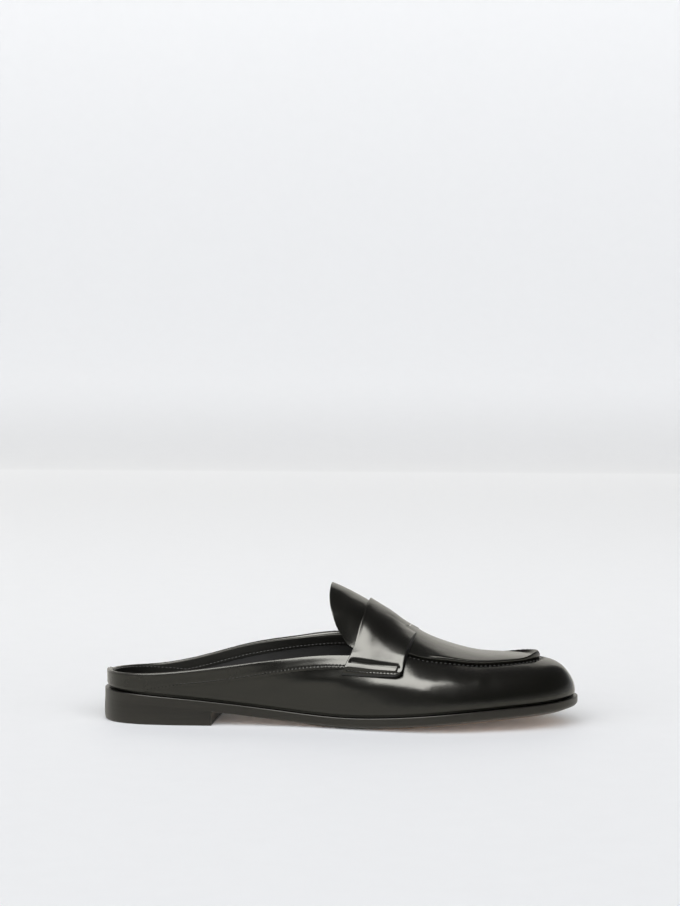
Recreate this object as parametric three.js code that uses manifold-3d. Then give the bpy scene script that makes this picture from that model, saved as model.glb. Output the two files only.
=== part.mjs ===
// A right loafer mule in black leather: hollow upper with a tongue, raised apron, collar band,
// saddle strap with a cut-out, insole, outsole and low heel.
// The toe points along +X, the wearer's left (medial side) along +Y, and +Z is up from the floor.
// The shoe is worked out from its heel, at X = 0, and moved at the end so that the origin is at the
// bottom centre of its box.
import * as THREE from "three";
import { mergeVertices } from "three/addons/utils/BufferGeometryUtils.js";
import Module from "manifold-3d";

const wasm = await Module();
wasm.setup();

// Driving sizes, in millimetres.
const SOLE_LENGTH = 266;
const BALL_WIDTH = 92;
const SEAT_HEIGHT = 17.8; // top of the sole above the floor, at the back of the heel
const TOE_SPRING = 15.6; // top of the sole above the floor, at the toe
const SOLE_THICKNESS = 5.2; // at its side
const TREAD_CROWN = 2.0; // how much lower the tread is in the middle than at its side
const SOLE_LEDGE = 1.5; // how far the sole stands out past the upper
const SOLE_BEVEL = 2.0; // how far the tread draws in from the side of the sole
const HEEL_LENGTH = 64;
const INSOLE_THICKNESS = 3.5;
const UPPER_WALL = 2.0;
const WALL_BULGE = 1.7; // how far the upper swells over its feather line at the ball
const INSTEP_HEIGHT = 77.5; // tip of the tongue above the floor
const INSTEP_AT = 128.4; // the tongue's tip, from the back of the heel
const APRON_HEIGHT = 37; // crest of the upper above the floor, at the front of the apron
const COLLAR_HEIGHT = 28; // rim of the collar above the floor, at the back of the heel
const THROAT_HEIGHT = 41.4; // lateral rim above the floor, where it meets the tongue
const THROAT_AT = 149;
const MEDIAL_RISE = 6.4; // how much higher the medial rim is at the throat
const BAND_THICKNESS = 0.8;
const BAND_DEPTH = 8.5; // height of the collar band at the throat
const APRON_THICKNESS = 1.2;
const APRON_FRONT_AT = 244.7;
const APRON_HALF_WIDTH = 30.5;
const APRON_POWER = 2.2; // roundness of the apron's plan, 2 for an ellipse
const LIP_HEIGHT = 1.0; // how far the apron's seam stands over the apron
const LIP_WIDTH = 2.2;
const STRAP_THICKNESS = 2.0;
const STRAP_FOOT_HEIGHT = 29; // foot of the strap above the floor
const STRAP_CORNER = 7; // rounding of the foot's front corner
const CUTOUT_HALF_WIDTH = 10;
const CUTOUT_DEPTH = 6.2;
const GAP = 0.3; // clearance between curved pieces

// Fineness of the facets.
const RING_STEPS = 46; // steps along each side, from heel to toe
const WALL_STEPS = 11; // steps from the feather line to the crest
const FAR = 90; // past every surface, for cutting tools

// The plan of the sole. at: share of the length; lateral, medial: share of the ball width.
const PLAN = [
  { at: 0, lateral: 0, medial: 0 },
  { at: 0.03, lateral: 0.233, medial: 0.228 },
  { at: 0.08, lateral: 0.316, medial: 0.307 },
  { at: 0.16, lateral: 0.342, medial: 0.326 },
  { at: 0.26, lateral: 0.33, medial: 0.302 },
  { at: 0.36, lateral: 0.326, medial: 0.264 },
  { at: 0.46, lateral: 0.364, medial: 0.262 },
  { at: 0.56, lateral: 0.436, medial: 0.335 },
  { at: 0.64, lateral: 0.487, medial: 0.418 },
  { at: 0.72, lateral: 0.507, medial: 0.483 },
  { at: 0.8, lateral: 0.473, medial: 0.48 },
  { at: 0.87, lateral: 0.4, medial: 0.43 },
  { at: 0.93, lateral: 0.308, medial: 0.352 },
  { at: 0.975, lateral: 0.182, medial: 0.238 },
  { at: 1, lateral: -0.027, medial: 0.027 },
];

// The top of the sole. seat: share of the seat height; spring: share of the toe spring.
const SEAT_LINE = [
  { at: 0, seat: 1, spring: 0 },
  { at: 0.1, seat: 0.921, spring: 0 },
  { at: 0.2, seat: 0.803, spring: 0 },
  { at: 0.31, seat: 0.629, spring: 0 },
  { at: 0.41, seat: 0.46, spring: 0.01 },
  { at: 0.52, seat: 0.27, spring: 0.115 },
  { at: 0.6, seat: 0.1, spring: 0.36 },
  { at: 0.69, seat: 0, spring: 0.6 },
  { at: 0.77, seat: 0, spring: 0.724 },
  { at: 0.86, seat: 0, spring: 0.84 },
  { at: 0.94, seat: 0, spring: 0.923 },
  { at: 1, seat: 0, spring: 1 },
];

// The crest of the last and its sections. height: 1 at the tongue's tip, 0 at the apron's front;
// across: share of the ball width, towards the medial side; power: roundness of the section, 2 for an
// ellipse; bulge: share of the wall's bulge.
const LAST = [
  { at: 0, height: 1.25, across: 0, power: 2.9, bulge: 0.3 },
  { at: 0.2, height: 1.22, across: 0, power: 2.8, bulge: 0.4 },
  { at: 0.38, height: 1.14, across: 0.012, power: 2.5, bulge: 0.7 },
  { at: 0.483, height: 1, across: 0.024, power: 2.15, bulge: 0.9 },
  { at: 0.561, height: 0.74, across: 0.032, power: 2, bulge: 1 },
  { at: 0.605, height: 0.565, across: 0.033, power: 1.92, bulge: 1 },
  { at: 0.65, height: 0.385, across: 0.033, power: 1.9, bulge: 1 },
  { at: 0.69, height: 0.23, across: 0.033, power: 1.98, bulge: 1 },
  { at: 0.733, height: 0.13, across: 0.033, power: 2.1, bulge: 0.95 },
  { at: 0.8, height: 0.052, across: 0.03, power: 2.22, bulge: 0.75 },
  { at: 0.87, height: 0.015, across: 0.028, power: 2.3, bulge: 0.5 },
  { at: 0.93, height: -0.006, across: 0.027, power: 2.3, bulge: 0.3 },
  { at: 1, height: -0.03, across: 0.027, power: 2.3, bulge: 0.15 },
];
const HEEL_FAN = 0.1; // the walls of the heel turn about this share of the length
const TOE_FAN = 0.895; // and those of the toe about this one
const FAN_BLEND = 0.045;

// The rim of the collar. lateral, medial: share of the rise from the heel to the throat.
const TOPLINE = [
  { at: -0.05, lateral: 0, medial: 0 },
  { at: 0.1, lateral: 0.0, medial: 0.0 },
  { at: 0.15, lateral: 0.07, medial: 0.06 },
  { at: 0.21, lateral: 0.2, medial: 0.2 },
  { at: 0.28, lateral: 0.38, medial: 0.45 },
  { at: 0.34, lateral: 0.56, medial: 0.655 },
  { at: 0.4, lateral: 0.75, medial: 0.82 },
  { at: 0.46, lateral: 0.91, medial: 0.935 },
  { at: 0.51, lateral: 0.98, medial: 0.985 },
  { at: 0.56, lateral: 1, medial: 1 },
];

// The lower edge of the collar band. drop: share of the band's depth below the rim.
const BAND_EDGE = [
  { at: -0.05, drop: 2 },
  { at: 0.06, drop: 1.35 },
  { at: 0.15, drop: 1.0 },
  { at: 0.25, drop: 1.0 },
  { at: 0.35, drop: 0.98 },
  { at: 0.45, drop: 0.94 },
  { at: 0.56, drop: 1 },
];

// The tongue's back edge, seen from the side. up: share of the height from the lateral throat to the
// tip; back: share of the length from the throat back to the tip.
const TONGUE_EDGE = [
  { up: 0.04, back: 0.08 },
  { up: 0.11, back: 0.34 },
  { up: 0.22, back: 0.53 },
  { up: 0.35, back: 0.7 },
  { up: 0.48, back: 0.81 },
  { up: 0.6, back: 0.89 },
  { up: 0.76, back: 0.97 },
  { up: 0.9, back: 1 },
  { up: 1, back: 1 },
];

// The strap's edges, seen from the side. up: share of the height from the strap's foot to the tongue's
// tip; rear, front: distance from the back of the heel, as a share of the sole's length.
const STRAP_EDGE = [
  { up: -0.1, rear: 0.511, front: 0.64 },
  { up: 0.0, rear: 0.516, front: 0.644 },
  { up: 0.18, rear: 0.528, front: 0.649 },
  { up: 0.3, rear: 0.537, front: 0.656 },
  { up: 0.42, rear: 0.545, front: 0.664 },
  { up: 0.56, rear: 0.553, front: 0.667 },
  { up: 0.7, rear: 0.56, front: 0.668 },
  { up: 1, rear: 0.563, front: 0.669 },
];

// A natural cubic spline through one column of a table, against another.
function curve(table, column, along = "at", place = (share) => share) {
  const xs = table.map((row) => place(row[along]));
  const ys = table.map((row) => row[column]);
  const last = xs.length - 1;
  const bend = new Array(last + 1).fill(0);
  const carry = new Array(last + 1).fill(0);
  for (let i = 1; i < last; i++) {
    const share = (xs[i] - xs[i - 1]) / (xs[i + 1] - xs[i - 1]);
    const pivot = share * bend[i - 1] + 2;
    const turn =
      (ys[i + 1] - ys[i]) / (xs[i + 1] - xs[i]) - (ys[i] - ys[i - 1]) / (xs[i] - xs[i - 1]);
    bend[i] = (share - 1) / pivot;
    carry[i] = ((6 * turn) / (xs[i + 1] - xs[i - 1]) - share * carry[i - 1]) / pivot;
  }
  for (let i = last - 1; i > 0; i--) bend[i] = bend[i] * bend[i + 1] + carry[i];
  bend[last] = 0;
  return (x) => {
    const at = THREE.MathUtils.clamp(x, xs[0], xs[last]);
    let i = 0;
    while (i < last - 1 && at > xs[i + 1]) i++;
    const width = xs[i + 1] - xs[i];
    const a = (xs[i + 1] - at) / width;
    const b = 1 - a;
    const cubic = ((a ** 3 - a) * bend[i] + (b ** 3 - b) * bend[i + 1]) * (width ** 2 / 6);
    return a * ys[i] + b * ys[i + 1] + cubic;
  };
}

// Along each side the outline is followed by an angle, 0 at the heel and PI at the toe, so that both
// ends come out round.
const angleOf = (share) => Math.acos(1 - 2 * share);
const shareOf = (angle) => (1 - Math.cos(angle)) / 2;
const LATERAL = -1;
const MEDIAL = 1;

const planLateral = curve(PLAN, "lateral", "at", angleOf);
const planMedial = curve(PLAN, "medial", "at", angleOf);
const seatShare = curve(SEAT_LINE, "seat");
const springShare = curve(SEAT_LINE, "spring");
const crestShare = curve(LAST, "height");
const crestAcross = curve(LAST, "across");
const sectionPower = curve(LAST, "power");
const bulgeShare = curve(LAST, "bulge");
const rimLateral = curve(TOPLINE, "lateral");
const rimMedial = curve(TOPLINE, "medial");
const bandDrop = curve(BAND_EDGE, "drop");
const strapRear = curve(STRAP_EDGE, "rear", "up");
const strapFront = curve(STRAP_EDGE, "front", "up");

const soleTop = (x) =>
  SEAT_HEIGHT * seatShare(x / SOLE_LENGTH) + TOE_SPRING * springShare(x / SOLE_LENGTH);
const soleEdge = (x) => Math.max(0, soleTop(x) - SOLE_THICKNESS);
const crestHeight = (x) => THREE.MathUtils.lerp(APRON_HEIGHT, INSTEP_HEIGHT, crestShare(x / SOLE_LENGTH));

function rimHeight(x, side) {
  const share = side === LATERAL ? rimLateral(x / SOLE_LENGTH) : rimMedial(x / SOLE_LENGTH);
  const throat = side === LATERAL ? THROAT_HEIGHT : THROAT_HEIGHT + MEDIAL_RISE;
  return COLLAR_HEIGHT + (throat - COLLAR_HEIGHT) * share;
}

// A point of the sole's outline, drawn in by inset.
function outlinePoint(angle, side, inset) {
  const place = (a) => {
    const across = side === LATERAL ? -planLateral(a) : planMedial(a);
    return new THREE.Vector2(shareOf(a) * SOLE_LENGTH, across * BALL_WIDTH);
  };
  const step = 0.002;
  const along = place(Math.min(angle + step, Math.PI)).sub(place(Math.max(angle - step, 0)));
  along.normalize();
  if (angle < step || angle > Math.PI - step) along.set(0, angle < step ? side : -side);
  return place(angle).add(new THREE.Vector2(side * along.y, -side * along.x).multiplyScalar(inset));
}

// The centre that a wall turns to: straight across, except round the heel and the toe.
function crestPoint(x) {
  const share = x / SOLE_LENGTH;
  const ease = (past) => {
    if (past > FAN_BLEND) return past;
    if (past < -FAN_BLEND) return 0;
    return (past + FAN_BLEND) ** 2 / (4 * FAN_BLEND);
  };
  const centre = HEEL_FAN + ease(share - HEEL_FAN) - ease(share - TOE_FAN);
  return new THREE.Vector2(centre * SOLE_LENGTH, crestAcross(centre) * BALL_WIDTH);
}

// A point of the upper's outer form, grown outwards. wall: 0 at the feather line, 1 at the crest.
function formPoint(angle, side, wall, grow) {
  const foot = outlinePoint(angle, side, SOLE_LEDGE - grow);
  const crest = crestPoint(shareOf(angle) * SOLE_LENGTH);
  const share = foot.x / SOLE_LENGTH;
  const turn = (wall * Math.PI) / 2;
  const power = 2 / sectionPower(share);
  const out = wall === 1 ? 0 : Math.cos(turn) ** power;
  const up = Math.sin(turn) ** power;
  const reach = foot.clone().sub(crest);
  const swell = WALL_BULGE * bulgeShare(share) * 4 * up * (1 - up) ** 2;
  const place = crest.add(reach.multiplyScalar(out + swell / reach.length()));
  const floor = soleTop(foot.x) + GAP;
  return new THREE.Vector3(place.x, place.y, floor + (crestHeight(place.x) + grow - floor) * up);
}

// Turns a three.js geometry into a solid that can be cut and joined.
function toSolid(geometry) {
  const bare = new THREE.BufferGeometry();
  bare.setAttribute("position", geometry.getAttribute("position"));
  bare.setIndex(geometry.getIndex());
  const merged = mergeVertices(bare, 1e-4);
  const index = merged.getIndex().array;
  const kept = [];
  for (let i = 0; i < index.length; i += 3) {
    const [a, b, c] = index.slice(i, i + 3);
    if (a !== b && b !== c && c !== a) kept.push(a, b, c);
  }
  const vertProperties = new Float32Array(merged.getAttribute("position").array);
  const triVerts = new Uint32Array(kept);
  return new wasm.Manifold(new wasm.Mesh({ numProp: 3, vertProperties, triVerts }));
}

// A closed solid whose rings run round the shoe: pointAt gives the point at an angle, a side and a level.
// With a lid the last ring is closed over, and without one its two sides meet along the crest.
function ringSolid(levels, lid, pointAt) {
  const columns = [];
  for (let i = 0; i <= RING_STEPS; i++) columns.push([LATERAL, (i * Math.PI) / RING_STEPS]);
  for (let i = RING_STEPS - 1; i > 0; i--) columns.push([MEDIAL, (i * Math.PI) / RING_STEPS]);
  const around = columns.length;
  const positions = columns.flatMap(([side, angle]) =>
    levels.flatMap((level) => pointAt(angle, side, level).toArray()),
  );
  const at = (column, level) => (column % around) * levels.length + level;
  const index = [];
  const quad = (a, b, c, d) => index.push(a, b, c, a, c, d);
  for (let k = 0; k < around; k++) {
    for (let j = 0; j + 1 < levels.length; j++) {
      quad(at(k, j), at(k + 1, j), at(k + 1, j + 1), at(k, j + 1));
    }
  }
  const top = levels.length - 1;
  for (let i = 0; i < RING_STEPS; i++) {
    const [near, far] = [i, around - i];
    quad(at(near, 0), at(far, 0), at(far - 1, 0), at(near + 1, 0));
    if (lid) quad(at(near, top), at(near + 1, top), at(far - 1, top), at(far, top));
  }
  const geometry = new THREE.BufferGeometry();
  geometry.setAttribute("position", new THREE.Float32BufferAttribute(positions, 3));
  geometry.setIndex(index);
  return toSolid(geometry);
}

// The whole of the upper's form, grown outwards; its foot can be let down through the sole.
function formSolid(grow, letDown = 0) {
  const levels = Array.from({ length: WALL_STEPS + 1 }, (_, j) => j / WALL_STEPS);
  if (letDown > 0) levels.unshift(-1);
  return ringSolid(levels, false, (angle, side, wall) => {
    const point = formPoint(angle, side, Math.max(wall, 0), grow);
    if (wall < 0) point.z -= letDown;
    return point;
  });
}

// Straight cutting tools: an outline in X and Z run across the shoe, or one in X and Y run upwards.
function acrossPrism(points, fromY, toY) {
  const shape = new THREE.Shape(points.map(([x, z]) => new THREE.Vector2(x, z)));
  const geometry = new THREE.ExtrudeGeometry(shape, { depth: toY - fromY, bevelEnabled: false });
  geometry.rotateX(Math.PI / 2).translate(0, toY, 0);
  return toSolid(geometry);
}

function uprightPrism(points) {
  const shape = new THREE.Shape(points.map(([x, y]) => new THREE.Vector2(x, y)));
  const geometry = new THREE.ExtrudeGeometry(shape, { depth: 2 * FAR, bevelEnabled: false });
  geometry.translate(0, 0, -FAR / 2);
  return toSolid(geometry);
}

const steps = (from, to, count) =>
  Array.from({ length: count + 1 }, (_, i) => from + ((to - from) * i) / count);
const sideRange = (side) => (side === LATERAL ? [-FAR, 0.01] : [-0.01, FAR]);

// What the collar and the throat leave open, on one side.
function openingSide(side) {
  const throat = rimHeight(THROAT_AT, side);
  const rim = steps(-10, THROAT_AT - 1.5, 26).map((x) => [x, rimHeight(x, side)]);
  const tongue = TONGUE_EDGE.map((row) => [
    THROAT_AT - (THROAT_AT - INSTEP_AT) * row.back,
    throat + (INSTEP_HEIGHT - throat) * row.up,
  ]);
  const above = [
    [INSTEP_AT, 2 * FAR],
    [-10, 2 * FAR],
  ];
  return acrossPrism([...rim, ...tongue, ...above], ...sideRange(side));
}

function makeUpper() {
  return formSolid(0)
    .subtract(formSolid(-UPPER_WALL, SOLE_THICKNESS))
    .subtract(openingSide(LATERAL))
    .subtract(openingSide(MEDIAL));
}

// The leather between two forms of the upper.
const layer = (inner, thickness) => formSolid(inner + thickness).subtract(formSolid(inner, SOLE_THICKNESS));

const strapHeight = (up) => STRAP_FOOT_HEIGHT + (INSTEP_HEIGHT - STRAP_FOOT_HEIGHT) * up;
const strapUps = steps(0, 1, 12);
const strapRearEdge = strapUps.map((up) => [strapRear(up) * SOLE_LENGTH, strapHeight(up)]);
const strapFrontEdge = strapUps.map((up) => [strapFront(up) * SOLE_LENGTH, strapHeight(up)]);

// The band stitched round the collar, from its lower edge up to the rim and forward to the strap.
function makeBand() {
  const side = (hand) => {
    const lower = steps(-10, THROAT_AT + 2, 24).map((x) => [
      x,
      rimHeight(x, hand) - BAND_DEPTH * bandDrop(x / SOLE_LENGTH),
    ]);
    const upper = steps(THROAT_AT + 2, -10, 24).map((x) => [x, rimHeight(x, hand) + GAP]);
    return acrossPrism([...lower, ...upper], ...sideRange(hand));
  };
  const rear = strapRearEdge.map(([x, z]) => [x - GAP, z]);
  const [footX, footZ] = rear[0];
  const [topX] = rear[rear.length - 1];
  const slope = (rear[1][0] - footX) / (rear[1][1] - footZ);
  const ahead = [[footX - slope * footZ, 0], ...rear, [topX, FAR], [FAR * 3, FAR], [FAR * 3, 0]].reverse();
  return layer(GAP, BAND_THICKNESS)
    .intersect(side(LATERAL).add(side(MEDIAL)))
    .subtract(acrossPrism(ahead, -FAR, FAR))
    .subtract(openingSide(LATERAL))
    .subtract(openingSide(MEDIAL));
}

// The apron's plan, drawn in by inset: a superellipse in front, open to the rear.
function apronPlan(inset) {
  const centreY = crestAcross(THROAT_AT / SOLE_LENGTH) * BALL_WIDTH;
  const rearX = THROAT_AT + 10;
  const reach = APRON_FRONT_AT - inset - rearX;
  const half = APRON_HALF_WIDTH - inset;
  const front = steps(-Math.PI / 2, Math.PI / 2, 36).map((turn) => {
    const along = Math.cos(turn) ** (2 / APRON_POWER);
    const across = Math.sign(turn) * Math.abs(Math.sin(turn)) ** (2 / APRON_POWER);
    return [rearX + reach * along, centreY + half * across];
  });
  return uprightPrism(front);
}

function makeApron() {
  const front = strapFrontEdge.map(([x, z]) => [x + GAP, z]);
  const [footX, footZ] = front[0];
  const [topX] = front[front.length - 1];
  const behind = [[0, footZ - FAR], [footX, footZ - FAR], ...front, [topX, 2 * FAR], [0, 2 * FAR]];
  const plate = layer(GAP, APRON_THICKNESS).intersect(apronPlan(0));
  const seam = layer(GAP, APRON_THICKNESS + LIP_HEIGHT)
    .intersect(apronPlan(0))
    .subtract(apronPlan(LIP_WIDTH));
  return plate.add(seam).subtract(acrossPrism(behind, -FAR, FAR));
}

// The strap's outline from the side, with a round front corner at its foot.
function strapSide() {
  const rear = strapRearEdge;
  const front = strapFrontEdge.filter(([, z]) => z > STRAP_FOOT_HEIGHT + STRAP_CORNER);
  const round = steps(0, Math.PI / 2, 5).map((turn) => {
    const rise = STRAP_CORNER * (1 - Math.cos(turn));
    const frontX = strapFront(rise / (INSTEP_HEIGHT - STRAP_FOOT_HEIGHT)) * SOLE_LENGTH;
    return [frontX - STRAP_CORNER * (1 - Math.sin(turn)), STRAP_FOOT_HEIGHT + rise];
  });
  const [rearTopX] = rear[rear.length - 1];
  const [frontTopX] = front[front.length - 1];
  return [...round, ...front, [frontTopX, FAR], [rearTopX, FAR], ...[...rear].reverse()];
}

// The cut-out in the middle of the strap's front edge: two corners drawn back, and a lip between them.
function cutoutPlan() {
  const centreY = crestAcross(THROAT_AT / SOLE_LENGTH) * BALL_WIDTH;
  const frontX = strapFront(0.5) * SOLE_LENGTH;
  const lip = steps(-1, 1, 12).map((t) => [
    frontX - CUTOUT_DEPTH * (0.6 + 0.4 * t * t),
    centreY + CUTOUT_HALF_WIDTH * 0.88 * t,
  ]);
  const aheadX = frontX + 10;
  return [[aheadX, centreY - CUTOUT_HALF_WIDTH], ...lip, [aheadX, centreY + CUTOUT_HALF_WIDTH]].reverse();
}

function makeStrap() {
  return layer(GAP, STRAP_THICKNESS)
    .intersect(acrossPrism(strapSide(), -FAR, FAR))
    .subtract(uprightPrism(cutoutPlan()));
}

// The sole's side, from the tread up. crown: share of the tread's crown; inset: share of the bevel;
// up: share of the thickness.
const SOLE_SIDE = [
  { crown: 1, inset: 4.5, up: 0 },
  { crown: 0.25, inset: 1.7, up: 0 },
  { crown: 0, inset: 1, up: 0 },
  { crown: 0, inset: 0.42, up: 0.1 },
  { crown: 0, inset: 0.12, up: 0.26 },
  { crown: 0, inset: 0, up: 0.5 },
  { crown: 0, inset: 0, up: 0.8 },
  { crown: 0, inset: 0.12, up: 0.93 },
  { crown: 0, inset: 0.3, up: 1 },
];

// The bevel and the crown of the tread start in front of the heel, where sole and heel are flush.
const treadShare = (x) => THREE.MathUtils.smoothstep(x, HEEL_LENGTH, HEEL_LENGTH + 18);

function makeOutsole() {
  return ringSolid(SOLE_SIDE, true, (angle, side, { crown, inset, up }) => {
    const shaped = treadShare(shareOf(angle) * SOLE_LENGTH);
    const flat = crown > 0 ? inset : inset * shaped;
    const point = outlinePoint(angle, side, SOLE_BEVEL * (up < 0.5 ? flat : inset));
    const low = Math.max(0, soleEdge(point.x) - TREAD_CROWN * crown * treadShare(point.x));
    return new THREE.Vector3(point.x, point.y, low + (soleTop(point.x) - low) * up);
  });
}

// The heel's side, from the floor up. out: how far it stands out past the sole, in millimetres.
const HEEL_SIDE = [
  { out: -0.9, up: 0 },
  { out: 0, up: 0.07 },
  { out: 0.3, up: 0.25 },
  { out: 0.25, up: 0.6 },
  { out: 0, up: 1 },
];

function makeHeel() {
  const block = ringSolid(HEEL_SIDE, true, (angle, side, { out, up }) => {
    const point = outlinePoint(angle, side, -out);
    const height = Math.max(soleEdge(point.x) - GAP, SOLE_THICKNESS / 4);
    return new THREE.Vector3(point.x, point.y, height * up);
  });
  const ahead = new THREE.BoxGeometry(SOLE_LENGTH, 2 * FAR, 2 * FAR);
  ahead.translate(HEEL_LENGTH + SOLE_LENGTH / 2, 0, 0);
  return block.subtract(toSolid(ahead));
}

function makeInsole() {
  const inset = SOLE_LEDGE + UPPER_WALL + GAP;
  return ringSolid([0, 1], true, (angle, side, up) => {
    const point = outlinePoint(angle, side, inset);
    const low = soleTop(point.x) + GAP;
    return new THREE.Vector3(point.x, point.y, low + INSOLE_THICKNESS * up);
  });
}

const blackLeather = { color: 0x14140f, roughness: 0.3, metalness: 0 };
const blackEdge = { color: 0x1c1a17, roughness: 0.45, metalness: 0 };
const darkLining = { color: 0x24231f, roughness: 0.6, metalness: 0 };

function toMesh(name, solid, finish) {
  const { vertProperties, triVerts } = solid.getMesh();
  const geometry = new THREE.BufferGeometry();
  geometry.setAttribute("position", new THREE.BufferAttribute(vertProperties, 3));
  geometry.setIndex(new THREE.BufferAttribute(triVerts, 1));
  geometry.computeVertexNormals();
  const mesh = new THREE.Mesh(geometry, new THREE.MeshStandardMaterial(finish));
  mesh.name = name;
  return mesh;
}

const shoe = new THREE.Group();
shoe.add(
  toMesh("outsole", makeOutsole(), blackEdge),
  toMesh("heel", makeHeel(), blackEdge),
  toMesh("insole", makeInsole(), darkLining),
  toMesh("upper", makeUpper(), blackLeather),
  toMesh("collar_band", makeBand(), blackLeather),
  toMesh("apron", makeApron(), blackLeather),
  toMesh("saddle_strap", makeStrap(), blackLeather),
);

const box = new THREE.Box3().setFromObject(shoe);
const centre = box.getCenter(new THREE.Vector3());
shoe.position.set(-centre.x, -centre.y, -box.min.z);

export default shoe;
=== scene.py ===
# The loafer mule dressed for rendering: polished box leather, stitches, lining and edges round the
# solids of the part. Lengths in the functions below are in millimetres from the back of the heel, with
# the toe along +X, the medial side along +Y and +Z up. They become metres in the row's frame at the end.
import math

import bmesh
import bpy
import numpy as np
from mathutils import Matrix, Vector


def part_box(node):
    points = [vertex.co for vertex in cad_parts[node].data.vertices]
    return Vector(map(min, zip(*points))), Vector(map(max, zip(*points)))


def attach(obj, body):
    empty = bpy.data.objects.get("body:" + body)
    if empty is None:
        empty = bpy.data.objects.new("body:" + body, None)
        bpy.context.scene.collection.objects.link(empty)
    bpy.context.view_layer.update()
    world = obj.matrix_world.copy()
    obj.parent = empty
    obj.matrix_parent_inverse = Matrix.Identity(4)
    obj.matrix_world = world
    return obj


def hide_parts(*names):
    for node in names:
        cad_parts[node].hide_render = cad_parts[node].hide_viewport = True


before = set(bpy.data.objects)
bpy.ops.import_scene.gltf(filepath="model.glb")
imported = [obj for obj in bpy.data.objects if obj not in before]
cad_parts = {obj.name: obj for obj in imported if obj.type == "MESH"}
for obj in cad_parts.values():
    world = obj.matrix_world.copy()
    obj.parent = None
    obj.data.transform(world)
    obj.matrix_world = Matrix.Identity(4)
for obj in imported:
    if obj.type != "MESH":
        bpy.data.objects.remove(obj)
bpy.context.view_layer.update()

# The part's own sizes.
SOLE_LENGTH = 266.0
BALL_WIDTH = 92.0
SEAT_HEIGHT = 17.8
TOE_SPRING = 15.6
SOLE_THICKNESS = 5.2
TREAD_CROWN = 2.0
SOLE_LEDGE = 1.5
SOLE_BEVEL = 2.0
HEEL_LENGTH = 64.0
INSOLE_THICKNESS = 3.5
UPPER_WALL = 2.0
WALL_BULGE = 1.7
INSTEP_HEIGHT = 77.5
INSTEP_AT = 128.4
APRON_HEIGHT = 37.0
COLLAR_HEIGHT = 28.0
THROAT_HEIGHT = 41.4
THROAT_AT = 149.0
MEDIAL_RISE = 6.4
BAND_DEPTH = 8.5
APRON_FRONT_AT = 244.7
APRON_HALF_WIDTH = 30.5
APRON_POWER = 2.2
STRAP_FOOT_HEIGHT = 29.0
STRAP_CORNER = 7.0
GAP = 0.3

# The plan of the sole: share of the length, lateral and medial share of the ball width.
PLAN = [
    (0, 0, 0), (0.03, 0.233, 0.228), (0.08, 0.316, 0.307), (0.16, 0.342, 0.326), (0.26, 0.33, 0.302),
    (0.36, 0.326, 0.264), (0.46, 0.364, 0.262), (0.56, 0.436, 0.335), (0.64, 0.487, 0.418),
    (0.72, 0.507, 0.483), (0.8, 0.473, 0.48), (0.87, 0.4, 0.43), (0.93, 0.308, 0.352),
    (0.975, 0.182, 0.238), (1, -0.027, 0.027),
]
# The top of the sole: share of the length, of the seat height, of the toe spring.
SEAT_LINE = [
    (0, 1, 0), (0.1, 0.921, 0), (0.2, 0.803, 0), (0.31, 0.629, 0), (0.41, 0.46, 0.01),
    (0.52, 0.27, 0.115), (0.6, 0.1, 0.36), (0.69, 0, 0.6), (0.77, 0, 0.724), (0.86, 0, 0.84),
    (0.94, 0, 0.923), (1, 0, 1),
]
# The last: share of the length, height of the crest, its shift across, roundness, share of the bulge.
LAST = [
    (0, 1.25, 0, 2.9, 0.3), (0.2, 1.22, 0, 2.8, 0.4), (0.38, 1.14, 0.012, 2.5, 0.7),
    (0.483, 1, 0.024, 2.15, 0.9), (0.561, 0.74, 0.032, 2, 1), (0.605, 0.565, 0.033, 1.92, 1),
    (0.65, 0.385, 0.033, 1.9, 1), (0.69, 0.23, 0.033, 1.98, 1), (0.733, 0.13, 0.033, 2.1, 0.95),
    (0.8, 0.052, 0.03, 2.22, 0.75), (0.87, 0.015, 0.028, 2.3, 0.5), (0.93, -0.006, 0.027, 2.3, 0.3),
    (1, -0.03, 0.027, 2.3, 0.15),
]
HEEL_FAN = 0.1
TOE_FAN = 0.895
FAN_BLEND = 0.045
# The rim: share of the length, lateral and medial share of the rise to the throat.
TOPLINE = [
    (-0.05, 0, 0), (0.1, 0, -0.06), (0.15, 0.07, 0.05), (0.21, 0.2, 0.255), (0.28, 0.38, 0.53),
    (0.34, 0.56, 0.72), (0.4, 0.75, 0.875), (0.46, 0.91, 0.985), (0.51, 0.98, 1.03), (0.56, 1, 1.03),
]
# The lower edge of the band: share of the length, share of the band's depth below the rim.
BAND_EDGE = [(-0.05, 2), (0.06, 1.35), (0.15, 1.0), (0.25, 1.0), (0.35, 0.98), (0.45, 0.94), (0.56, 1)]
# The tongue's back edge: share of the height, share of the way back to the tip.
TONGUE_EDGE = [
    (0.0, -0.02), (0.04, 0.08), (0.11, 0.34), (0.22, 0.53), (0.35, 0.7), (0.48, 0.81), (0.6, 0.89),
    (0.76, 0.97), (0.9, 1), (1, 1),
]
# The strap's edges: share of the height, rear and front as a share of the length.
STRAP_EDGE = [
    (-0.1, 0.511, 0.64), (0.0, 0.516, 0.644), (0.18, 0.528, 0.649), (0.3, 0.537, 0.656),
    (0.42, 0.545, 0.664), (0.56, 0.553, 0.667), (0.7, 0.56, 0.668), (1, 0.563, 0.669),
]
LATERAL, MEDIAL = SIDES = -1.0, 1.0


def curves(table, place=lambda share: share):
    """A natural cubic spline through each further column of a table, against its first."""
    first, *others = zip(*table)
    xs = np.array([place(share) for share in first], float)
    return [curve(xs, np.array(values, float)) for values in others]


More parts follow.
